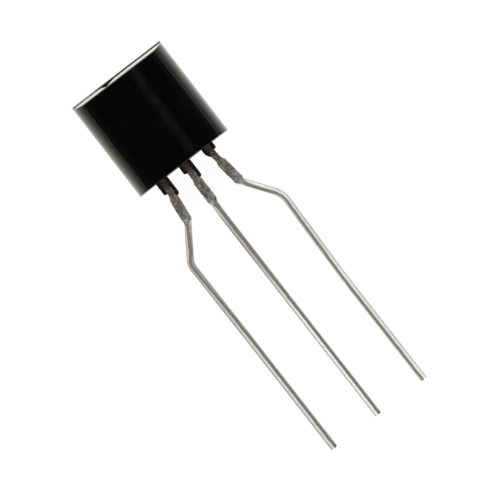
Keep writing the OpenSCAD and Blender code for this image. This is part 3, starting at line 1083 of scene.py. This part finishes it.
class SweepTree:
    """Geometry Nodes tree that sweeps a changing rounded rectangle along a route.

    The route is a chain of edges whose points carry the section: width, thickness, edge, wear,
    distance, and the directions across and up. The rest of what they carry is for the finish.
    """

    name = "formed_lead"
    inputs = (("Section points", "NodeSocketInt"), ("Grit depth", "NodeSocketFloat"),
              ("Grit grain", "NodeSocketFloat"), ("Seed", "NodeSocketFloat"),
              ("Finish", "NodeSocketMaterial"))
    grit_detail = 3.0

    def __init__(self) -> None:
        """Builds the tree."""
        self.tree = bpy.data.node_groups.new(self.name, "GeometryNodeTree")
        self.graph = NodeGraph(self.tree)
        sockets = self.tree.interface
        sockets.new_socket("Route", in_out="INPUT", socket_type="NodeSocketGeometry")
        self.keys = {name: sockets.new_socket(name, in_out="INPUT", socket_type=kind).identifier
                     for name, kind in self.inputs}
        sockets.new_socket("Lead", in_out="OUTPUT", socket_type="NodeSocketGeometry")
        self.given = self.graph.node("NodeGroupInput").outputs
        smooth = self.step("SetShadeSmooth", Geometry=self.gritty(self.swept()))
        plain = self.step("RealizeInstances", Geometry=smooth)
        finished = self.step("SetMaterial", Geometry=plain, Material=self.given["Finish"])
        self.graph.feed(self.graph.node("NodeGroupOutput"), Lead=finished)

    def step(self, kind: str, **inputs: object) -> Socket:
        """The first output of a new geometry node, whose kind is its name after GeometryNode."""
        return self.graph.feed(self.graph.node("GeometryNode" + kind), **inputs).outputs[0]

    def value(self, name: str, kind: str = "FLOAT") -> Socket:
        """Reads an attribute of the route, of the named data type."""
        node = self.graph.node("GeometryNodeInputNamedAttribute", data_type=kind)
        return self.graph.feed(node, Name=name).outputs[0]

    def held(self, geometry: Socket, name: str) -> tuple[Socket, ...]:
        """Keeps each point's position as it is now.

        Args:
            geometry: The curve whose positions are kept.
            name: A name for them.

        Returns:
            The same curve, and the kept positions.
        """
        node = self.graph.node("GeometryNodeCaptureAttribute")
        node.capture_items.new("VECTOR", name)
        self.graph.fill(node, geometry, self.step("InputPosition"))
        return node.outputs[0], node.outputs[1]

    def rounded(self, unit: Socket, size: str) -> Socket:
        """Places a point of a unit circle on a rounded rectangle, along one side.

        Args:
            unit: The point's coordinate on the unit circle.
            size: The attribute that holds the rectangle's size along that side.

        Returns:
            The coordinate on the section.
        """
        graph, edge = self.graph, self.value("edge")
        flat = graph.math("SUBTRACT", graph.math("MULTIPLY", self.value(size), 0.5), edge)
        corner = graph.math("MULTIPLY", graph.math("SIGN", unit), flat)
        return graph.math("MULTIPLY_ADD", unit, edge, corner)

    def swept(self) -> Socket:
        """Sweeps the section along the route, and gives each point its place.

        Returns:
            The swept lead.
        """
        graph, points = self.graph, self.given["Section points"]
        rail, place = self.held(self.step("MeshToCurve", Mesh=self.given["Route"]), "rail_place")
        circle, turned = self.held(self.step("CurvePrimitiveCircle", Resolution=points,
                                             Radius=1.0), "circle_place")
        turn = graph.node("ShaderNodeVectorRotate", rotation_type="Z_AXIS")
        graph.feed(turn, Vector=turned, Angle=graph.math("DIVIDE", math.pi, points))
        skin = self.step("CurveToMesh", Curve=rail, Profile_Curve=circle, Fill_Caps=True)
        pattern = graph.feed(graph.node("ShaderNodeCombineXYZ"), Z=self.value("distance"))
        units = graph.axes(turn.outputs[0])
        for axis, size, direction in ((0, "width", "across"), (1, "thickness", "up")):
            aside = self.rounded(units[axis], size)
            graph.plug(aside, pattern.inputs[axis])
            shift = graph.vector("SCALE", self.value(direction, "FLOAT_VECTOR"), Scale=aside)
            place = graph.vector("ADD", place, shift)
        placed = self.step("SetPosition", Geometry=skin, Position=place)
        stored = graph.node("GeometryNodeStoreNamedAttribute", data_type="FLOAT_VECTOR")
        graph.feed(stored, Geometry=placed, Name="route", Value=pattern.outputs[0])
        return stored.outputs[0]

    def gritty(self, geometry: Socket) -> Socket:
        """Roughens the surface where it is worn.

        Args:
            geometry: The swept lead.

        Returns:
            The roughened lead.
        """
        graph, given = self.graph, self.given
        grain = graph.node("ShaderNodeTexNoise", noise_dimensions="4D")
        graph.feed(grain, W=given["Seed"], Scale=given["Grit grain"], Detail=self.grit_detail)
        depth = graph.math("MULTIPLY", given["Grit depth"], self.value("wear"))
        swing = graph.math("MULTIPLY", graph.math("SUBTRACT", grain.outputs["Fac"], 0.5), depth)
        shift = graph.vector("SCALE", self.step("InputNormal"), Scale=swing)
        return self.step("SetPosition", Geometry=geometry, Offset=shift)

    def apply(self, chain: bpy.types.Object, values: dict[str, object]) -> None:
        """Puts the tree on a route.

        Args:
            chain: The object whose mesh is the route.
            values: The tree's inputs, by name.
        """
        modifier = chain.modifiers.new(self.name, "NODES")
        modifier.node_group = self.tree
        for name, value in values.items():
            modifier[self.keys[name]] = value


@dataclass
class FormedLead:
    """One lead: neck, shoulder, blade and taper, then the long wire.

    Each track gives a value at distances down the route from the case: the place and half width
    of a painted shade band, the tin's painted brightness, and its tint. The turn is the wire's,
    in degrees, with the right face upwards.
    """

    stock: LeadStock
    name: str
    seed: float
    turned: float
    shade_band: Track
    shade_band_half: Track
    painted_lightness: Track
    warmth: Track

    def route(self) -> Route:
        """The lead's middle line. Each kind of lead has its own."""
        raise NotImplementedError

    def section(self, way: float, left: float) -> Section:
        """The lead's section at one place.

        Args:
            way: Distance down the route from the case.
            left: Distance from there to the tip.

        Returns:
            The section.
        """
        stock = self.stock
        wide = ease(way, stock.neck_length, stock.neck_length + stock.shoulder, curve=False)
        thin = ease(way, stock.wire_start, stock.wire_start + stock.taper)
        width = stock.neck_width + (stock.blade_width - stock.neck_width) * wide
        width += (stock.wire_width - width) * thin
        thickness = stock.stock + (stock.wire_thickness - stock.stock) * thin
        edge = stock.stamped_edge + (stock.wire_edge - stock.stamped_edge) * thin
        place = Vector((way * stock.ragged_grain, 0, self.seed))
        ragged = stock.ragged * abs(noise.noise(place)) * (1.0 - thin)
        cut = max(0.0, stock.cut_edge - left)
        tracks = (self.shade_band, self.shade_band_half, self.painted_lightness, self.warmth)
        return Section(width - cut - ragged, thickness - cut, edge,
                       math.radians(self.turned) * thin, 1.0 - thin,
                       *(follow(track, way) for track in tracks))

    def make(self, sweep: SweepTree, finish: bpy.types.Material, solid: bpy.types.Object) -> None:
        """Builds and dresses the lead.

        Args:
            sweep: The tree that sweeps its section.
            finish: Its material.
            solid: The CAD node that it replaces.
        """
        stock = self.stock
        stops = self.route().stops
        last = stops[-1].distance
        build = bmesh.new()
        verts = [build.verts.new((*stop.place, stock.plane)) for stop in stops]
        for first, second in zip(verts, verts[1:]):
            build.edges.new((first, second))
        chain = mesh_object(self.name, build)
        sections = [self.section(stop.distance - stock.root, last - stop.distance)
                    for stop in stops]
        for name in ("width", "thickness", "edge", "wear", "shade_band", "shade_band_half", "painted_lightness",
                     "warmth"):
            keep(chain, name, [getattr(one, name) for one in sections])
        keep(chain, "distance", [stop.distance for stop in stops])
        turns = [(stop.heading, math.cos(one.twist), math.sin(one.twist))
                 for stop, one in zip(stops, sections)]
        keep(chain, "across", [(math.cos(heading) * level, math.sin(heading) * level, rise)
                               for heading, level, rise in turns])
        keep(chain, "up", [(-math.cos(heading) * rise, -math.sin(heading) * rise, level)
                           for heading, level, rise in turns])
        sweep.apply(chain, {"Section points": stock.section_points, "Seed": self.seed,
                            "Grit depth": stock.grit_depth, "Grit grain": stock.grit_grain,
                            "Finish": finish})
        made = plain_mesh(chain, self.name + "_formed")
        self.add_root(made.data, solid.data)
        made.data.set_sharp_from_angle(angle=SHARP_ANGLE)
        dress(made, finish, self.name)

    def add_root(self, formed: bpy.types.Mesh, solid: bpy.types.Mesh) -> None:
        """Adds the stamped root inside the case, copied from the CAD node.

        Args:
            formed: The swept lead, in metres, which the root joins.
            solid: The mesh of the CAD node.
        """
        stock = self.stock
        build = bmesh.new()
        build.from_mesh(solid)
        bmesh.ops.remove_doubles(build, verts=build.verts[:], dist=stock.merge_distance * MM)
        cut = Vector((0, (stock.foot + stock.root / 2) * MM, 0))
        geometry = build.verts[:] + build.edges[:] + build.faces[:]
        bmesh.ops.bisect_plane(build, geom=geometry, plane_co=cut, plane_no=(0, 1, 0),
                               clear_inner=True, dist=stock.cut_tolerance * MM)
        bmesh.ops.holes_fill(build, edges=[edge for edge in build.edges if edge.is_boundary])
        root = bpy.data.meshes.new("root")
        build.to_mesh(root)
        build.free()
        both = bmesh.new()
        both.from_mesh(formed)
        both.from_mesh(root)
        both.to_mesh(formed)
        both.free()
        bpy.data.meshes.remove(root)


@dataclass
class OuterLead(FormedLead):
    """A lead that leans and splays outwards, then turns down again. Angles are in degrees."""

    side: Side = Side.LEFT
    lean: float = 7.4
    lean_radius: float = 0.5
    splay: float = 33.7
    splay_radius: float = 0.4
    bend_radius: float = 0.75
    toe_in: float = 0.7
    bow: float = 0.4
    bow_radius: float = 12.0
    bow_at: float = 4.0
    tip: float = 2.44
    outer_flash: float = 0.58
    past_flash: float = 0.01

    def route(self) -> Route:
        """The lead's middle line, whose splayed run and last run reach the tip's place.

        Returns:
            The route.
        """
        stock = self.stock
        lean, splay = math.radians(self.lean), math.radians(self.splay)
        toe_in, bow = math.radians(self.toe_in), math.radians(self.bow)
        upper = self.outer_flash + self.past_flash
        route = Route((stock.pitch, stock.foot + stock.root))
        route.run(stock.root + upper, stock.flash_step)
        route.bend(lean, self.lean_radius)
        route.run(stock.wire_start - upper, stock.blade_step)
        route.bend(splay - lean, self.splay_radius)
        splayed, last = self.last_runs(route.end, splay, toe_in, bow)
        route.run(splayed, stock.splay_step)
        route.bend(-toe_in - splay, self.bend_radius)
        route.run(self.bow_at, stock.wire_step)
        route.bend(bow, self.bow_radius)
        route.run_out(last, stock)
        if self.side is Side.LEFT:
            route.stops = [Stop((-stop.place[0], stop.place[1]), -stop.heading, stop.distance)
                           for stop in route.stops]
        return route

    def last_runs(self, start: Stop, splay: float, toe_in: float, bow: float) -> Point:
        """Lengths of the splayed run and of the last run.

        Args:
            start: The end of the splayed run's bend.
            splay: Angle of the splayed run.
            toe_in: Inward lean of the long run below it.
            bow: Outward curve half-way down the long run.

        Returns:
            The two lengths.
        """
        stock = self.stock
        trial = Route((0.0, 0.0))
        trial.stops = [Stop((0.0, 0.0), splay, 0.0)]
        trial.bend(-toe_in - splay, self.bend_radius)
        trial.run(self.bow_at, self.bow_at)
        trial.bend(bow, self.bow_radius)
        way = (self.tip - start.place[0] - trial.end.place[0],
               start.place[1] + trial.end.place[1] - (stock.foot - stock.length))
        down = bow - toe_in
        across = math.sin(splay - down)
        return ((way[0] * math.cos(down) - way[1] * math.sin(down)) / across,
                (way[1] * math.sin(splay) - way[0] * math.cos(splay)) / across)


@dataclass
class MiddleLead(FormedLead):
    """The lead that runs straight down, with one small kink. Angles are in degrees."""

    kink: float = 2.0
    kink_run: float = 0.9
    kink_radius: float = 1.0
    lean: float = 0.36

    def route(self) -> Route:
        """The lead's middle line.

        Returns:
            The route.
        """
        stock = self.stock
        kink, lean = map(math.radians, (self.kink, self.lean))
        route = Route((0.0, stock.foot + stock.root))
        route.run(stock.root + stock.wire_start, stock.blade_step)
        route.bend(-kink, self.kink_radius)
        route.run(self.kink_run, stock.kink_step)
        route.bend(kink + lean, self.kink_radius)
        route.run_out((route.end.place[1] - stock.foot + stock.length) / math.cos(lean), stock)
        return route


def ease(value: float, low: float, high: float, curve: bool = True) -> float:
    """How far a value lies from low to high, 0 to 1, with gentle ends where it is curved."""
    share = min(1.0, max(0.0, (value - low) / (high - low)))
    return share * share * (3 - 2 * share) if curve else share


def follow(track: Track, way: float) -> float:
    """Value of a track at a distance, in straight steps between its points.

    Args:
        track: Pairs of a distance and a value, in order.
        way: The distance.

    Returns:
        The value, held before the first pair and past the last.
    """
    if way <= track[0][0]:
        return track[0][1]
    for (low, first), (high, second) in zip(track, track[1:]):
        if way <= high:
            return first + (second - first) * (way - low) / (high - low)
    return track[-1][1]


def keep(chain: bpy.types.Object, name: str, values: Sequence[object]) -> None:
    """Stores an attribute on the points of a mesh.

    Args:
        chain: The object.
        name: The attribute's name.
        values: One number or vector for each point.
    """
    plain = isinstance(values[0], float)
    kind, part = ("FLOAT", "value") if plain else ("FLOAT_VECTOR", "vector")
    attribute = chain.data.attributes.new(name, kind, "POINT")
    for item, value in zip(attribute.data, values):
        setattr(item, part, value)


# ---- Pieces inside the case ----


class InsideParts:
    """The die, its attach layer and its two bond wires, which keep their CAD shapes."""

    looks = {"die": SILICON, "die_attach": SILVER_EPOXY, "base_wire": GOLD_WIRE,
             "emitter_wire": GOLD_WIRE}

    def dress(self, nodes: dict[str, bpy.types.Object]) -> None:
        """Gives each piece its finish.

        Args:
            nodes: The CAD nodes' objects, by name.
        """
        made = {look: TwoTone(look).material for look in dict.fromkeys(self.looks.values())}
        for name, look in self.looks.items():
            for slot in nodes[name].material_slots:
                slot.material = made[look]
            log.info("%s: %s", name, look.name)


# ---- Table, light and camera ----


@dataclass(frozen=True)
class WhiteTableLook:
    """Values of the table. Places and distances are in millimetres."""

    white: Colour = (1.0, 1.0, 1.0)
    # Tints of the painted pool of light in gloss and metal: warmer at left, brighter at right.
    left_tint: Colour = (1.0, 0.985, 0.83)
    right_tint: Colour = (1.12, 1.115, 1.02)
    tint_span: Point = (-4.0, 4.0)
    right_fall: float = 1.12
    roughness: float = 0.8
    grey: Colour = (0.12, 0.12, 0.12)
    mottled: Colour = (0.1176, 0.1176, 0.1176)
    mottle: Pattern = Pattern(0.6, 3.0)
    glow: float = 0.9
    horizon: Point = (60.0, 400.0)
    # Painted pool of light seen in gloss and metal, full within near and gone by far.
    near: float = 4.3
    far: float = 12.5
    fall_power: float = 1.5
    lit_span: Point = (-15.0, 1.5)
    # Painted light past the top end, seen in gloss and metal.
    top_span: Point = (2.2, 3.0)
    top_glow: float = 1.3
    # Painted shadow under the case, seen in gloss and metal.
    foot: float = -0.5
    foot_shadow_span: Point = (2.4, 2.75)
    foot_shadow_half: Point = (1.9, 3.3)
    foot_shadow_glow: float = 0.2


class WhiteTable(Finish):
    """A white table that keeps a faint shadow. Near the part it also shows in gloss and metal, as
    a painted pool of light.
    """

    name = "white_table"
    look = WhiteTableLook()

    def build(self) -> None:
        """Builds the nodes."""
        graph, look = self.graph, self.look
        self.across, self.along, _ = graph.axes(self.place)
        ray = graph.node("ShaderNodeLightPath").outputs
        seen = ray["Is Camera Ray"]
        glossy = graph.math("MAXIMUM", ray["Is Glossy Ray"], ray["Is Transmission Ray"])
        away = graph.vector("LENGTH", self.place)
        shown = graph.math("MULTIPLY", seen, graph.ramp(away, *look.horizon, look.glow, 1.0))
        # Gloss and metal see the painted pool of light.
        mirrored_glow = graph.math("MULTIPLY", glossy, self.mirrored())
        tint = graph.blend(graph.ramp(self.across, *look.tint_span), look.left_tint,
                           look.right_tint)
        graph.feed(self.shader, Roughness=look.roughness,
                   Base_Color=graph.blend(self.mapped(look.mottle), look.mottled, look.grey),
                   Emission_Color=graph.blend(seen, tint, look.white),
                   Emission_Strength=graph.math("MAXIMUM", shown, mirrored_glow))

    def mirrored(self) -> Socket:
        """Painted glow in gloss and metal: painted light stronger past the top end, and a painted
        shadow under the case.

        Returns:
            The strength of the glow.
        """
        graph, look = self.graph, self.look
        # Painted shadow under the case and painted light past the top end.
        beyond = graph.math("ABSOLUTE", graph.math("SUBTRACT", self.along, look.foot))
        out = graph.math("ABSOLUTE", self.across)
        foot = graph.math("MAXIMUM", graph.ramp(beyond, *look.foot_shadow_span, look.foot_shadow_glow, 1.0),
                          graph.ramp(out, *look.foot_shadow_half))
        top = graph.ramp(self.along, *look.top_span, look.glow, look.glow * look.top_glow)
        return graph.math("MULTIPLY", self.nearness(), graph.math("MULTIPLY", foot, top))

    def nearness(self) -> Socket:
        """How near a point of the table is to the part: 1 beside it, falling to 0, which shapes
        the painted pool of light.

        Returns:
            The share, which falls a little sooner on the right.
        """
        graph, look = self.graph, self.look
        low, high = look.lit_span
        beyond = graph.math("MAXIMUM", graph.math("SUBTRACT", self.along, high),
                            graph.math("SUBTRACT", low, self.along))
        aside = graph.math("MAXIMUM", graph.math("MULTIPLY", self.across, look.right_fall),
                           graph.math("MULTIPLY", self.across, -1.0))
        reach = graph.node("ShaderNodeCombineXYZ")
        graph.feed(reach, X=aside, Y=graph.math("MAXIMUM", beyond, 0.0))
        distance = graph.vector("LENGTH", reach.outputs[0])
        fade = graph.ramp(distance, look.near, look.far, 1.0, 0.0, kind="LINEAR")
        return graph.math("POWER", fade, look.fall_power)


@dataclass(frozen=True)
class SoftBox:
    """A flat lamp that faces the part. Lengths are in millimetres."""

    name: str
    azimuth: float
    elevation: float
    distance: float
    size: Point
    radiance: float


@dataclass
class Studio:
    """The table, the soft light and the camera that looks down on the part."""

    table_half: float = 4000.0
    table_height: float = -3.87
    dim: float = 0.02
    boxes: tuple[SoftBox, ...] = (
        SoftBox("top_end_box", 90.0, 45.0, 220.0, (260.0, 180.0), 3.3),
        SoftBox("tip_end_box", -90.0, 45.0, 220.0, (260.0, 180.0), 2.6),
        SoftBox("left_box", 180.0, 58.0, 220.0, (150.0, 120.0), 1.3),
        SoftBox("right_box", 15.0, 58.0, 220.0, (220.0, 120.0), 1.5),
    )
    aim: tuple[float, float, float] = (0.068, -7.24, -1.42)
    distance: float = 180.0
    tilt: float = 4.4
    turn: float = 37.6
    pixels_per_mm: float = 22.4
    picture_width: int = 501
    sensor: float = 36.0
    clip_start: float = 1.0

    def make(self) -> None:
        """Sets the whole stage."""
        bpy.context.scene.view_settings.view_transform = "Standard"
        self.lay_table()
        self.light_world()
        for box in self.boxes:
            self.hang(box)
        self.set_camera()

    def lay_table(self) -> None:
        """Makes the table, wide enough to fill every view from above."""
        build = bmesh.new()
        half = self.table_half
        build.faces.new([build.verts.new((x * half, y * half, self.table_height))
                         for x, y in ((-1, -1), (1, -1), (1, 1), (-1, 1))])
        table = plain_mesh(mesh_object("table", build), "white_table")
        table.data.materials.append(WhiteTable().material)

    def light_world(self) -> None:
        """Makes the world white to the camera and dim to everything else."""
        world = bpy.data.worlds.new("studio")
        world.use_nodes = True
        bpy.context.scene.world = world
        graph = NodeGraph(world.node_tree)
        seen = graph.node("ShaderNodeLightPath").outputs["Is Camera Ray"]
        graph.feed(world.node_tree.nodes["Background"], Color=(1, 1, 1, 1),
                   Strength=graph.ramp(seen, 0.0, 1.0, self.dim, 1.0))

    def hang(self, box: SoftBox) -> None:
        """Hangs a soft box, which faces the part.

        Args:
            box: The box.
        """
        lamp = bpy.data.lights.new(box.name, "AREA")
        lamp.shape = "RECTANGLE"
        lamp.size, lamp.size_y = (side * MM for side in box.size)
        lamp.energy = box.radiance * math.pi * lamp.size * lamp.size_y
        holder = place_object(box.name, lamp)
        azimuth, elevation = math.radians(box.azimuth), math.radians(box.elevation)
        outward = Vector((math.cos(azimuth) * math.cos(elevation),
                          math.sin(azimuth) * math.cos(elevation), math.sin(elevation)))
        holder.location = (outward * box.distance + Vector(self.aim)) * MM
        holder.rotation_euler = outward.to_track_quat("Z", "Y").to_euler()

    def set_camera(self) -> None:
        """Sets the camera almost straight above the part, which lies aslant in the picture."""
        camera = bpy.data.cameras.new("camera")
        camera.sensor_fit = "HORIZONTAL"
        camera.sensor_width = self.sensor
        camera.lens = self.distance * self.pixels_per_mm * self.sensor / self.picture_width
        camera.clip_start = self.clip_start * MM
        camera.clip_end = 2 * self.table_half * MM
        holder = place_object("camera", camera)
        lean = Matrix.Rotation(math.radians(-self.tilt), 4, "X")
        place = Matrix.Translation(Vector(self.aim) * MM) @ lean
        place @= Matrix.Translation((0, 0, self.distance * MM))
        holder.matrix_world = place @ Matrix.Rotation(math.radians(-self.turn), 4, "Z")
        bpy.context.scene.camera = holder


# ---- Everything in order ----


class Transistor:
    """The whole part."""

    def __init__(self) -> None:
        """Gathers the sub-assemblies."""
        stock = LeadStock()
        self.case = MouldedCase()
        # Each lead's tracks place a painted shade band across its tin and give the tin's painted
        # brightness along it.
        self.leads: list[FormedLead] = [
            OuterLead(
                stock, "left_lead", seed=1.0, turned=16.0,
                shade_band=((2.0, 0.0), (2.15, -0.03), (2.4, 0.02), (3.2, 0.055), (3.6, 0.065),
                        (4.1, 0.03), (4.8, 0.04), (5.8, 0.07), (6.7, 0.085), (8.9, 0.095)),
                shade_band_half=((1.95, 0.22), (2.2, 0.13), (2.4, 0.085), (3.6, 0.08),
                             (4.4, 0.055), (6.7, 0.05)),
                painted_lightness=((2.2, 0.75), (2.35, 0.6), (2.9, 0.56), (3.8, 0.56), (4.1, 0.46),
                       (5.0, 0.47), (5.8, 0.52), (6.7, 0.5), (8.9, 0.61)),
                warmth=((1.9, 0.3), (2.6, 1.0), (3.9, 1.0), (4.5, 0.2), (8.9, 0.1)),
                side=Side.LEFT, lean=6.4),
            MiddleLead(
                stock, "middle_lead", seed=2.0, turned=16.0,
                shade_band=((1.95, 0.0), (2.2, 0.03), (2.5, 0.07), (3.1, 0.085), (4.5, 0.085),
                        (6.7, 0.086), (8.9, 0.096)),
                shade_band_half=((1.95, 0.22), (2.15, 0.15), (2.35, 0.1), (2.6, 0.07), (4.5, 0.05)),
                painted_lightness=((2.2, 0.78), (2.4, 0.62), (2.8, 0.56), (3.3, 0.45), (4.5, 0.42),
                       (5.5, 0.46), (6.7, 0.56), (8.9, 0.73)),
                warmth=((1.9, 0.1), (3.0, 0.4), (4.8, 0.35), (6.0, 0.1))),
            OuterLead(
                stock, "right_lead", seed=3.0, turned=-16.0,
                shade_band=((1.95, 0.0), (2.25, -0.035), (2.5, -0.077), (2.8, -0.095),
                        (3.3, -0.095), (3.8, -0.075), (8.9, -0.09)),
                shade_band_half=((1.95, 0.22), (2.2, 0.13), (2.4, 0.08), (3.3, 0.07), (3.9, 0.048)),
                painted_lightness=((2.2, 0.76), (2.5, 0.72), (3.1, 0.75), (3.5, 0.68), (3.8, 0.62),
                       (4.2, 0.76), (4.8, 0.7), (6.7, 0.68), (7.8, 0.78), (8.6, 0.82),
                       (9.6, 0.75), (12.5, 0.76), (14.0, 0.83)),
                warmth=((1.9, 0.0), (8.9, 0.08)),
                side=Side.RIGHT, lean=7.6, splay=35.5, bend_radius=1.2, toe_in=1.2, bow=1.7,
                tip=2.61, outer_flash=0.32),
        ]
        self.inside = InsideParts()

    def make(self, nodes: dict[str, bpy.types.Object]) -> None:
        """Builds and dresses every piece.

        Args:
            nodes: The CAD nodes' objects, by name.
        """
        self.case.make()
        sweep, tinned = SweepTree(), TinnedLead().material
        for lead in self.leads:
            lead.make(sweep, tinned, nodes[lead.name])
        self.inside.dress(nodes)


def main() -> None:
    """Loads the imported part, dresses it, and sets the stage."""
    logging.basicConfig(level=logging.INFO, format="%(name)s: %(message)s", stream=sys.stdout)
    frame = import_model()
    Studio().make()
    Transistor().make(frame["nodes"])


if __name__ == "__main__":
    main()
